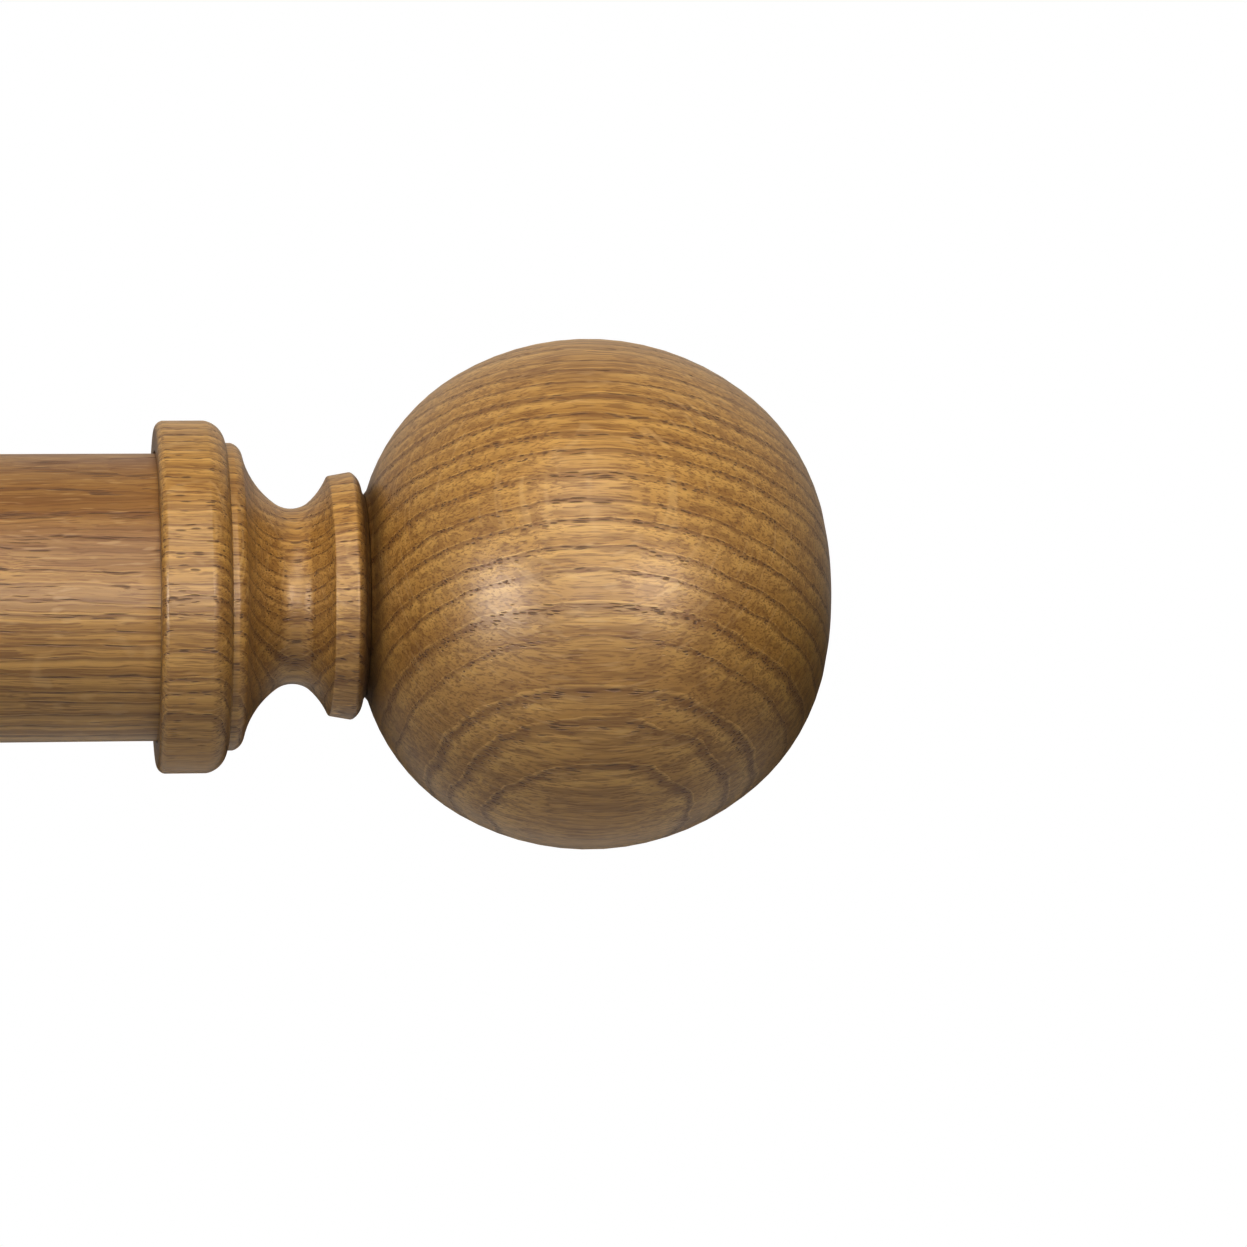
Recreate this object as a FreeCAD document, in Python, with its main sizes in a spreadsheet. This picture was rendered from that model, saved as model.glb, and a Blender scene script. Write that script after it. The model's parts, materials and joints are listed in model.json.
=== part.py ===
import FreeCAD, Part
import math
import os
import re
import Sketcher

# A wooden curtain pole with two ball finials, held by two turned wall brackets.
# X runs along the pole, +Z is up and +Y points into the wall, whose face is the plane y = 0.
# The origin is the middle of the four wall screw holes, two in each bracket's plate.

DIMENSIONS = {
    # pole
    "pole_radius": 25.0,
    "pole_length": 1200.0,
    "pole_chamfer": 0.8,
    "pole_projection": 95.0,
    "pole_rise": 12.0,
    "bracket_offset": 480.0,
    # finial neck, measured along the pole from the collar's inner face
    "socket_depth": 6.0,
    "socket_gap": 0.35,
    "collar_radius": 30.7,
    "collar_chamfer": 1.3,
    "collar_shoulder_start": 8.5,
    "collar_shoulder_end": 12.1,
    "collar_shoulder_arc": 4.3,
    "step_radius": 26.8,
    "step_flat_end": 13.1,
    "step_end": 14.9,
    "step_end_radius": 25.1,
    "step_arc": 2.6,
    "cove_middle": 23.65,
    "cove_radius": 15.25,
    "cove_arc": 4.95,
    "cove_inner_flare": 15.2,
    "cove_outer_flare": 13.2,
    "ring_start": 30.0,
    "ring_start_radius": 20.95,
    "ring_end": 33.9,
    "ring_end_radius": 21.65,
    "ring_chamfer_end": 35.6,
    "ring_chamfer_radius": 18.9,
    "ring_chamfer_arc": 3.0,
    # finial ball, measured from the same face
    "joint_along": 36.3,
    "joint_radius": 17.6,
    "ball_start": 37.1,
    "ball_start_radius": 18.6,
    "ball_middle": 75.8,
    "ball_radius": 44.85,
    "ball_inner_shoulder": 35.3,
    "ball_outer_shoulder": 36.1,
    "ball_nose_arc": 60.0,
    "ball_end": 118.2,
    "dowel_radius": 6.0,
    "ball_dowel_in_neck": 10.0,
    "ball_dowel_in_ball": 18.0,
    "dowel_chamfer": 0.8,
    # finial fixing
    "washer_thickness": 1.0,
    "washer_radius": 20.0,
    "washer_hole_radius": 4.5,
    "fixing_radius": 4.0,
    "fixing_chamfer": 0.8,
    "fixing_in_neck": 18.0,
    "fixing_in_pole": 22.0,
    "insert_radius": 6.0,
    "insert_lip_radius": 7.5,
    "insert_lip_thickness": 1.5,
    "pole_insert_length": 20.0,
    "pole_bore_depth": 30.0,
    # clearances
    "glue_gap": 0.05,
    "thread_gap": 0.05,
    # wall plate and its stud
    "plate_radius": 32.0,
    "plate_thickness": 3.0,
    "plate_edge": 0.6,
    "screw_spacing": 44.0,
    "screw_hole_radius": 2.75,
    "stud_head_radius": 6.0,
    "stud_head_thickness": 1.2,
    "stud_length": 33.0,
    "stud_slack": 0.8,
    # rose, measured out from the wall
    "rose_radius": 45.0,
    "rose_thickness": 20.0,
    "rose_chamfer": 1.2,
    "rose_flat_end": 5.0,
    "rose_shoulder_end": 10.0,
    "rose_shoulder_radius": 39.8,
    "rose_shoulder_arc": 5.6,
    "rose_step_end": 10.8,
    "rose_step_radius": 38.8,
    "rose_cove_end": 17.2,
    "rose_cove_radius": 26.6,
    "rose_cove_arc": 14.0,
    "rose_face_radius": 24.4,
    "rose_bead_arc": 2.6,
    "rose_recess_radius": 34.0,
    "rose_recess_depth": 8.0,
    "rose_hole_radius": 4.5,
    # arm, measured out from the rose
    "arm_length": 33.0,
    "arm_base_radius": 21.5,
    "arm_base_chamfer": 0.9,
    "arm_base_flat_end": 4.0,
    "arm_base_end": 6.4,
    "arm_base_end_radius": 19.0,
    "arm_base_arc": 2.6,
    "arm_cove_middle": 15.6,
    "arm_cove_radius": 12.4,
    "arm_cove_arc": 5.6,
    "arm_inner_flare": 13.0,
    "arm_outer_flare": 11.0,
    "arm_ring_start": 23.6,
    "arm_ring_start_radius": 16.4,
    "arm_ring_end": 30.6,
    "arm_ring_end_radius": 17.0,
    "arm_end_radius": 15.2,
    "arm_insert_length": 14.0,
    "arm_dowel_depth": 10.0,
    # cup, about the pole's own axis
    "cup_gap": 0.35,
    "cup_radius": 35.0,
    "cup_width": 36.0,
    "cup_flank_radius": 32.0,
    "cup_shoulder_run": 4.0,
    "cup_shoulder_arc": 4.6,
    "cup_lip_height": 6.0,
    "cup_lip_round": 1.6,
    "boss_radius": 17.0,
    "boss_reach": 42.0,
    "boss_chamfer": 1.2,
    "button_radius": 9.5,
    "button_reach": 39.0,
    "button_round": 1.0,
    "cut_reach": 60.0,
    # lock screw, its nylon tip and its brass bush, measured down from the pole's underside
    "lock_bush_radius": 4.5,
    "lock_bush_length": 10.0,
    "lock_radius": 2.5,
    "lock_hole_radius": 2.8,
    "tip_gap": 0.05,
    "tip_radius": 2.3,
    "tip_thickness": 2.35,
    "tip_stem_radius": 1.0,
    "tip_stem_length": 3.0,
    "tip_stem_slack": 0.2,
    "lock_length": 14.0,
    "lock_collar_radius": 4.4,
    "lock_collar_length": 1.6,
    "lock_head_radius": 8.0,
    "lock_head_length": 7.0,
    "lock_head_chamfer": 0.8,
    "knurl_radius": 0.55,
    "knurl_count": 24,
    "slot_width": 1.6,
    "slot_depth": 1.6,
}

doc = FreeCAD.newDocument("curtain_pole")
sheet = doc.addObject("Spreadsheet::Sheet", "Size")
pieces = []


def fill_sheet():
    for row, (alias, size) in enumerate(DIMENSIONS.items(), start=1):
        sheet.set(f"A{row}", alias)
        sheet.set(f"B{row}", str(size))
        sheet.setAlias(f"B{row}", alias)
    doc.recompute()


def sized(text):
    # an alias always holds an underscore, so a function such as sqrt is left alone
    return re.sub(r"\b([a-z]+(?:_[a-z]+)+)\b", r"Size.\1", text)


def number(text):
    return float(sheet.evalExpression(sized(text)))


def new_body(name):
    body = doc.addObject("PartDesign::Body", name)
    body.Label = name
    pieces.append(body)
    return body


def new_sketch(body, name, role):
    plane = next(item for item in body.Origin.OriginFeatures if item.Role == role)
    sketch = body.newObject("Sketcher::SketchObject", f"{body.Name}_{name}")
    sketch.AttachmentSupport = [(plane, "")]
    sketch.MapMode = "FlatFace"
    return sketch


def fix(sketch, kind, where, text):
    index = sketch.addConstraint(Sketcher.Constraint(kind, *where, number(text)))
    sketch.setExpression(f"Constraints[{index}]", sized(text))


def fix_point(sketch, edge, end, across, up):
    # either coordinate may be None, which leaves it free
    for kind, axis, text in (("DistanceX", -2, across), ("DistanceY", -1, up)):
        if text is None:
            continue
        if abs(number(text)) < 1e-9:
            sketch.addConstraint(Sketcher.Constraint("PointOnObject", edge, end, axis))
        else:
            fix(sketch, kind, (-1, 1, edge, end), text)


def corner(along, radius, arc=None, hollow=False, smooth=False, centre=None):
    # arc, hollow and centre describe the edge that leaves this corner; a smooth corner is only
    # a first guess, which the tangency of its two edges then settles
    return {"along": along, "radius": radius, "arc": arc, "hollow": hollow,
            "smooth": smooth, "centre": centre}


def arc_between(start, end, radius, hollow):
    chord = end - start
    rise = radius - math.sqrt(radius ** 2 - (chord.Length / 2) ** 2)
    outward = FreeCAD.Vector(-chord.y, chord.x, 0).normalize()
    middle = (start + end) / 2 + outward * (-rise if hollow else rise)
    return Part.Arc(start, middle, end)


def draw(sketch, outline):
    points = [FreeCAD.Vector(number(at["along"]), number(at["radius"]), 0) for at in outline]
    count = len(outline)
    ends = []
    for index, at in enumerate(outline):
        start = points[index]
        finish = points[(index + 1) % count]
        if at["arc"]:
            sketch.addGeometry(arc_between(start, finish, number(at["arc"]), at["hollow"]))
        else:
            sketch.addGeometry(Part.LineSegment(start, finish))
        forward = sketch.getPoint(index, 1).distanceToPoint(start) < 1e-6
        ends.append((1, 2) if forward else (2, 1))
    for index, at in enumerate(outline):
        before = (index - 1) % count
        joint = (before, ends[before][1], index, ends[index][0])
        if at["smooth"]:
            sketch.addConstraint(Sketcher.Constraint("Tangent", *joint))
        else:
            sketch.addConstraint(Sketcher.Constraint("Coincident", *joint))
            fix_point(sketch, index, ends[index][0], at["along"], at["radius"])
        if at["arc"]:
            fix(sketch, "Radius", (index,), at["arc"])
        if at["centre"]:
            fix_point(sketch, index, 3, *at["centre"])


def turn(body, outline, name="turning"):
    sketch = new_sketch(body, f"{name}_outline", "XY_Plane")
    draw(sketch, outline)
    turning = body.newObject("PartDesign::Revolution", f"{body.Name}_{name}")
    turning.Profile = sketch
    turning.ReferenceAxis = (sketch, ["H_Axis"])
    turning.Angle = 360


def add_circle(sketch, radius, across="0", up="0"):
    centre = FreeCAD.Vector(number(across), number(up), 0)
    index = sketch.addGeometry(Part.Circle(centre, FreeCAD.Vector(0, 0, 1), number(radius)))
    fix_point(sketch, index, 3, across, up)
    fix(sketch, "Radius", (index,), radius)


def extrude(body, kind, sketch, length, name, reverse=False, both_ways=False):
    feature = body.newObject(f"PartDesign::{kind}", f"{body.Name}_{name}")
    feature.Profile = sketch
    feature.setExpression("Length", sized(length))
    feature.Reversed = reverse
    feature.Midplane = both_ways
    doc.recompute()
    return feature


def cut(body, sketch, length, name, reverse=False, both_ways=False):
    doc.recompute()
    before = body.Shape.Volume
    feature = extrude(body, "Pocket", sketch, length, name, reverse, both_ways)
    if body.Shape.Volume > before - 1.0:
        raise RuntimeError(f"{feature.Name} cuts nothing")
    return feature


def dress(body, kind, amount, chosen, name):
    # a fillet or chamfer on the tip's edges that the test picks out
    doc.recompute()
    base = body.Tip
    edges = [f"Edge{index}" for index, edge in enumerate(base.Shape.Edges, start=1) if chosen(edge)]
    if not edges:
        raise RuntimeError(f"{body.Name}_{name} finds no edge")
    feature = body.newObject(f"PartDesign::{kind}", f"{body.Name}_{name}")
    feature.Base = (base, edges)
    feature.setExpression("Radius" if kind == "Fillet" else "Size", sized(amount))
    doc.recompute()
    return feature


def place(body, across, depth, up, axis=(0, 0, 1), angle=0):
    body.Placement = FreeCAD.Placement(
        FreeCAD.Vector(number(across), number(depth), number(up)),
        FreeCAD.Rotation(FreeCAD.Vector(*axis), angle))
    for letter, text in zip("xyz", (across, depth, up)):
        body.setExpression(f"Placement.Base.{letter}", sized(text))


def sleeve(length, radius, bore):
    # outline of a plain tube that starts at the origin
    return [corner("0", bore), corner("0", radius), corner(length, radius), corner(length, bore)]


def rod(length, radius, edge):
    # outline of a plain rod with both ends chamfered
    return [
        corner("0", "0"),
        corner("0", f"{radius} - {edge}"),
        corner(edge, radius),
        corner(f"{length} - {edge}", radius),
        corner(length, f"{radius} - {edge}"),
        corner(length, "0"),
    ]


def lipped_insert(length):
    # outline of a threaded insert, its flange first
    bore = "fixing_radius + thread_gap"
    return [
        corner("0", bore),
        corner("0", "insert_lip_radius"),
        corner("insert_lip_thickness", "insert_lip_radius"),
        corner("insert_lip_thickness", "insert_radius"),
        corner(length, "insert_radius"),
        corner(length, bore),
    ]


def build_pole():
    body = new_body("pole")
    section = new_sketch(body, "section", "YZ_Plane")
    add_circle(section, "pole_radius")
    extrude(body, "Pad", section, "pole_length", "length", both_ways=True)
    dress(body, "Chamfer", "pole_chamfer", lambda edge: len(edge.Vertexes) == 1, "end_edges")
    for side, sign in (("right", 1), ("left", -1)):
        for name, radius, depth in (
                ("bore", "insert_radius + glue_gap", "pole_bore_depth"),
                ("rebate", "insert_lip_radius + glue_gap", "insert_lip_thickness")):
            sketch = new_sketch(body, f"{side}_{name}", "YZ_Plane")
            sketch.setExpression("AttachmentOffset.Base.z", sized(f"{sign} * pole_length / 2"))
            add_circle(sketch, radius)
            cut(body, sketch, depth, f"{side}_{name}_cut", reverse=sign < 0)
    place(body, "0", "-pole_projection", "pole_rise")


def neck_outline():
    return [
        corner("0", "pole_radius + socket_gap"),
        corner("0", "collar_radius - collar_chamfer", arc="collar_chamfer * 1.3"),
        corner("collar_chamfer", "collar_radius"),
        corner("collar_shoulder_start", "collar_radius", arc="collar_shoulder_arc"),
        corner("collar_shoulder_end", "step_radius"),
        corner("step_flat_end", "step_radius", arc="step_arc"),
        corner("step_end", "step_end_radius", arc="cove_inner_flare", hollow=True),
        corner("cove_middle - 0.58 * cove_arc", "cove_radius + 0.18 * cove_arc",
               arc="cove_arc", hollow=True, smooth=True,
               centre=("cove_middle", "cove_radius + cove_arc")),
        corner("cove_middle + 0.57 * cove_arc", "cove_radius + 0.18 * cove_arc",
               arc="cove_outer_flare", hollow=True, smooth=True),
        corner("ring_start", "ring_start_radius"),
        corner("ring_end", "ring_end_radius", arc="ring_chamfer_arc"),
        corner("ring_chamfer_end", "ring_chamfer_radius"),
        corner("joint_along", "joint_radius"),
        corner("joint_along", "dowel_radius + glue_gap"),
        corner("joint_along - ball_dowel_in_neck", "dowel_radius + glue_gap"),
        corner("joint_along - ball_dowel_in_neck", "fixing_radius + glue_gap"),
        corner("socket_depth", "fixing_radius + glue_gap"),
        corner("socket_depth", "pole_radius + socket_gap"),
    ]


def ball_outline():
    bore = "dowel_radius + glue_gap"
    floor = "joint_along + ball_dowel_in_ball"
    return [
        corner("joint_along", bore),
        corner("joint_along", "joint_radius"),
        corner("ball_start", "ball_start_radius", arc="ball_inner_shoulder"),
        corner("ball_middle - 0.51 * ball_radius", "0.86 * ball_radius",
               arc="ball_radius", smooth=True, centre=("ball_middle", "0")),
        corner("ball_middle + 0.59 * ball_radius", "0.805 * ball_radius",
               arc="ball_outer_shoulder", smooth=True),
        corner("ball_middle + 0.89 * ball_radius", "0.4 * ball_radius",
               arc="ball_nose_arc", smooth=True, centre=(None, "0")),
        corner("ball_end", "0"),
        corner(floor, "0"),
        corner(floor, bore),
    ]


def build_finial(side, sign):
    # along is the distance out from the pole's end; the finial on the left is turned about
    def stand(body, along, inward=False):
        facing_left = (sign < 0) != inward
        place(body, f"{sign} * (pole_length / 2 + {along})", "-pole_projection", "pole_rise",
              angle=180 if facing_left else 0)

    collar_face = "washer_thickness - socket_depth"
    neck = new_body(f"finial_neck_{side}")
    turn(neck, neck_outline())
    stand(neck, collar_face)
    ball = new_body(f"finial_ball_{side}")
    turn(ball, ball_outline())
    stand(ball, collar_face)
    dowel = new_body(f"ball_dowel_{side}")
    turn(dowel, rod("(ball_dowel_in_neck + ball_dowel_in_ball)", "dowel_radius", "dowel_chamfer"))
    stand(dowel, f"{collar_face} + joint_along - ball_dowel_in_neck")
    stud = new_body(f"finial_stud_{side}")
    stud_length = "(fixing_in_pole + washer_thickness + fixing_in_neck)"
    turn(stud, rod(stud_length, "fixing_radius", "fixing_chamfer"))
    stand(stud, "-fixing_in_pole")
    washer = new_body(f"finial_washer_{side}")
    turn(washer, sleeve("washer_thickness", "washer_radius", "washer_hole_radius"))
    stand(washer, "0")
    insert = new_body(f"pole_insert_{side}")
    turn(insert, lipped_insert("pole_insert_length"))
    stand(insert, "0", inward=True)


def rose_outline():
    return [
        corner("0", "rose_recess_radius"),
        corner("0", "rose_radius - rose_chamfer"),
        corner("rose_chamfer", "rose_radius"),
        corner("rose_flat_end", "rose_radius", arc="rose_shoulder_arc"),
        corner("rose_shoulder_end", "rose_shoulder_radius"),
        corner("rose_step_end", "rose_step_radius", arc="rose_cove_arc", hollow=True),
        corner("rose_cove_end", "rose_cove_radius", arc="rose_bead_arc"),
        corner("rose_thickness", "rose_face_radius"),
        corner("rose_thickness", "rose_hole_radius"),
        corner("rose_recess_depth", "rose_hole_radius"),
        corner("rose_recess_depth", "rose_recess_radius"),
    ]


def arm_outline():
    return [
        corner("0", "insert_radius + glue_gap"),
        corner("0", "arm_base_radius - arm_base_chamfer"),
        corner("arm_base_chamfer", "arm_base_radius"),
        corner("arm_base_flat_end", "arm_base_radius", arc="arm_base_arc"),
        corner("arm_base_end", "arm_base_end_radius", arc="arm_inner_flare", hollow=True),
        corner("arm_cove_middle - 0.55 * arm_cove_arc", "arm_cove_radius + 0.17 * arm_cove_arc",
               arc="arm_cove_arc", hollow=True, smooth=True,
               centre=("arm_cove_middle", "arm_cove_radius + arm_cove_arc")),
        corner("arm_cove_middle + 0.5 * arm_cove_arc", "arm_cove_radius + 0.14 * arm_cove_arc",
               arc="arm_outer_flare", hollow=True, smooth=True),
        corner("arm_ring_start", "arm_ring_start_radius"),
        corner("arm_ring_end", "arm_ring_end_radius"),
        corner("arm_length", "arm_end_radius"),
        corner("arm_length", "dowel_radius + glue_gap"),
        corner("arm_length - arm_dowel_depth", "dowel_radius + glue_gap"),
        corner("arm_length - arm_dowel_depth", "0"),
        corner("stud_length - rose_thickness + stud_slack", "0"),
        corner("stud_length - rose_thickness + stud_slack", "insert_radius + glue_gap"),
    ]


def build_wall_plate(side, sign):
    plate = new_body(f"wall_plate_{side}")
    disc = new_sketch(plate, "disc", "XZ_Plane")
    add_circle(disc, "plate_radius")
    add_circle(disc, "fixing_radius + glue_gap")
    extrude(plate, "Pad", disc, "plate_thickness", "thickness")
    holes = new_sketch(plate, "screw_holes", "XZ_Plane")
    for end in (1, -1):
        add_circle(holes, "screw_hole_radius", up=f"{end} * screw_spacing / 2")
    cut(plate, holes, "plate_thickness", "screw_hole_cut", reverse=True)
    rebate = new_sketch(plate, "stud_rebate", "XZ_Plane")
    add_circle(rebate, "stud_head_radius + glue_gap")
    cut(plate, rebate, "stud_head_thickness", "stud_rebate_cut", reverse=True)
    dress(plate, "Chamfer", "plate_edge", is_front_rim, "rim")
    place(plate, f"{sign} * bracket_offset", "0", "0")


def is_front_rim(edge):
    at_front = abs(edge.BoundBox.YMin + number("plate_thickness")) < 0.01
    return at_front and edge.BoundBox.XLength > number("plate_radius")


def headed_stud_outline():
    return [
        corner("0", "0"),
        corner("0", "stud_head_radius"),
        corner("stud_head_thickness", "stud_head_radius"),
        corner("stud_head_thickness", "fixing_radius"),
        corner("stud_length - fixing_chamfer", "fixing_radius"),
        corner("stud_length", "fixing_radius - fixing_chamfer"),
        corner("stud_length", "0"),
    ]


def cup_outline():
    return [
        corner("0", "0"),
        corner("0", "cup_flank_radius", arc="cup_shoulder_arc"),
        corner("cup_shoulder_run", "cup_radius"),
        corner("cup_width - cup_shoulder_run", "cup_radius", arc="cup_shoulder_arc"),
        corner("cup_width", "cup_flank_radius"),
        corner("cup_width", "0"),
    ]


def box_outline(left, bottom, right, top):
    return [corner(left, bottom), corner(right, bottom), corner(right, top), corner(left, top)]


def cut_cradle(cup):
    # the half round that the pole lies in, carried straight up past the lips
    inner = "(pole_radius + cup_gap)"
    seat = new_sketch(cup, "seat", "YZ_Plane")
    add_circle(seat, inner)
    cut(cup, seat, "2 * cup_width", "seat_cut", both_ways=True)
    mouth = new_sketch(cup, "mouth", "YZ_Plane")
    draw(mouth, box_outline(f"-{inner}", "0", inner, "cut_reach"))
    cut(cup, mouth, "2 * cup_width", "mouth_cut", both_ways=True)
    top = new_sketch(cup, "top", "YZ_Plane")
    draw(top, box_outline("-cut_reach", "cup_lip_height", "cut_reach", "cut_reach"))
    cut(cup, top, "2 * cup_width", "top_cut", both_ways=True)


def is_lip(edge):
    return (abs(edge.BoundBox.ZMin - number("cup_lip_height")) < 0.01
            and edge.BoundBox.ZLength < 0.01
            and edge.BoundBox.XLength > number("cup_width") / 2)


def is_boss_rim(edge):
    return (abs(edge.BoundBox.YMin - number("boss_reach")) < 0.01
            and edge.BoundBox.XLength > number("boss_radius"))


def is_button_rim(edge):
    return abs(edge.BoundBox.ZMax + number("button_reach")) < 0.01


def build_cup(side, sign):
    cup = new_body(f"cup_{side}")
    turn(cup, cup_outline())
    cup.Tip.Profile[0].setExpression("AttachmentOffset.Base.x", sized("-cup_width / 2"))
    boss = new_sketch(cup, "boss", "XZ_Plane")
    add_circle(boss, "boss_radius", up="-pole_rise")
    extrude(cup, "Pad", boss, "boss_reach", "boss_pad", reverse=True)
    button = new_sketch(cup, "button", "XY_Plane")
    add_circle(button, "button_radius")
    extrude(cup, "Pad", button, "button_reach", "button_pad", reverse=True)
    cut_cradle(cup)
    socket = new_sketch(cup, "dowel_socket", "XZ_Plane")
    socket.setExpression("AttachmentOffset.Base.z", sized("-boss_reach"))
    add_circle(socket, "dowel_radius + glue_gap", up="-pole_rise")
    cut(cup, socket, "arm_dowel_depth", "dowel_socket_cut", reverse=True)
    bush_bore = new_sketch(cup, "bush_bore", "XY_Plane")
    bush_bore.setExpression("AttachmentOffset.Base.z", sized("-button_reach"))
    add_circle(bush_bore, "lock_bush_radius + glue_gap")
    cut(cup, bush_bore, "lock_bush_length", "bush_bore_cut", reverse=True)
    lock_hole = new_sketch(cup, "lock_hole", "XY_Plane")
    lock_hole.setExpression("AttachmentOffset.Base.z", sized("-button_reach"))
    add_circle(lock_hole, "lock_hole_radius")
    cut(cup, lock_hole, "button_reach", "lock_hole_cut", reverse=True)
    dress(cup, "Fillet", "cup_lip_round", is_lip, "lips")
    dress(cup, "Chamfer", "boss_chamfer", is_boss_rim, "boss_rim")
    dress(cup, "Fillet", "button_round", is_button_rim, "button_rim")
    place(cup, f"{sign} * bracket_offset", "-pole_projection", "pole_rise")


def build_bracket(side, sign):
    across = f"{sign} * bracket_offset"

    # the turned pieces point out of the wall, so they are drawn along X and swung round
    def stand(body, depth):
        place(body, across, depth, "0", angle=-90)

    build_wall_plate(side, sign)
    stud = new_body(f"plate_stud_{side}")
    turn(stud, headed_stud_outline())
    stand(stud, "0")
    rose = new_body(f"rose_{side}")
    turn(rose, rose_outline())
    stand(rose, "0")
    arm = new_body(f"arm_{side}")
    turn(arm, arm_outline())
    stand(arm, "-rose_thickness")
    insert = new_body(f"arm_insert_{side}")
    turn(insert, sleeve("stud_length - rose_thickness", "insert_radius", "fixing_radius + thread_gap"))
    stand(insert, "-rose_thickness")
    dowel = new_body(f"arm_dowel_{side}")
    turn(dowel, rod("(2 * arm_dowel_depth - dowel_chamfer)", "dowel_radius", "dowel_chamfer"))
    stand(dowel, "-(rose_thickness + arm_length - arm_dowel_depth + dowel_chamfer / 2)")
    build_cup(side, sign)


def lock_screw_outline():
    tip = "tip_thickness"
    neck = f"({tip} + lock_length)"
    head = f"({neck} + lock_collar_length)"
    end = f"({head} + lock_head_length)"
    bore = f"{tip} + tip_stem_length + tip_stem_slack"
    return [
        corner(tip, "tip_stem_radius + glue_gap"),
        corner(tip, "lock_radius"),
        corner(neck, "lock_radius"),
        corner(neck, "lock_collar_radius"),
        corner(head, "lock_collar_radius"),
        corner(head, "lock_head_radius - lock_head_chamfer"),
        corner(f"{head} + lock_head_chamfer", "lock_head_radius"),
        corner(f"{end} - lock_head_chamfer", "lock_head_radius"),
        corner(end, "lock_head_radius - lock_head_chamfer"),
        corner(end, "0"),
        corner(bore, "0"),
        corner(bore, "tip_stem_radius + glue_gap"),
    ]


def tip_outline():
    stem_end = "tip_thickness + tip_stem_length"
    return [
        corner("0", "0"),
        corner("0", "tip_radius"),
        corner("tip_thickness", "tip_radius"),
        corner("tip_thickness", "tip_stem_radius"),
        corner(stem_end, "tip_stem_radius"),
        corner(stem_end, "0"),
    ]


def build_lock(side, sign):
    across = f"{sign} * bracket_offset"

    # these point straight down; along is measured from just under the pole
    def stand(body, along):
        place(body, across, "-pole_projection", f"pole_rise - pole_radius - tip_gap - ({along})",
              axis=(0, 1, 0), angle=90)

    bush = new_body(f"lock_bush_{side}")
    turn(bush, sleeve("lock_bush_length", "lock_bush_radius", "lock_radius + thread_gap"))
    stand(bush, "button_reach - lock_bush_length - pole_radius - tip_gap")
    tip = new_body(f"lock_tip_{side}")
    turn(tip, tip_outline())
    stand(tip, "0")
    screw = new_body(f"lock_screw_{side}")
    turn(screw, lock_screw_outline())
    head_end = "tip_thickness + lock_length + lock_collar_length + lock_head_length"
    knurl = new_sketch(screw, "knurl", "YZ_Plane")
    knurl.setExpression("AttachmentOffset.Base.z", sized(head_end))
    add_circle(knurl, "knurl_radius", across="lock_head_radius")
    groove = cut(screw, knurl, "lock_head_length", "knurl_cut")
    ring = screw.newObject("PartDesign::PolarPattern", f"{screw.Name}_knurls")
    ring.Originals = [groove]
    ring.Axis = (knurl, ["N_Axis"])
    ring.Angle = 360
    ring.setExpression("Occurrences", sized("knurl_count"))
    screw.Tip = ring
    doc.recompute()
    slot = new_sketch(screw, "slot", "YZ_Plane")
    slot.setExpression("AttachmentOffset.Base.z", sized(head_end))
    draw(slot, box_outline("-cut_reach", "-slot_width / 2", "cut_reach", "slot_width / 2"))
    cut(screw, slot, "slot_depth", "slot_cut")
    stand(screw, "0")


def check_pieces():
    for item in doc.Objects:
        if item.TypeId == "Sketcher::SketchObject" and item.solve() != 0:
            raise RuntimeError(f"{item.Name} does not solve")
        if "Invalid" in item.State or "Error" in item.State:
            raise RuntimeError(f"{item.Name}: {item.State}")
    for piece in pieces:
        shape = piece.Shape
        if shape.isNull() or not shape.isValid() or len(shape.Solids) != 1:
            raise RuntimeError(f"{piece.Label} is not one valid solid")


def write_pieces():
    os.makedirs("parts", exist_ok=True)
    for piece in pieces:
        piece.Shape.exportStep(f"parts/{piece.Label}.step")
        print(f"{piece.Label}: {piece.Shape.Volume:.0f} mm3")


fill_sheet()
build_pole()
for side_name, side_sign in (("right", 1), ("left", -1)):
    build_finial(side_name, side_sign)
    build_bracket(side_name, side_sign)
    build_lock(side_name, side_sign)
doc.recompute()
check_pieces()
write_pieces()
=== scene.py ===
import json
import math

import bmesh
import bpy
from mathutils import Euler, Matrix, Vector

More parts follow.
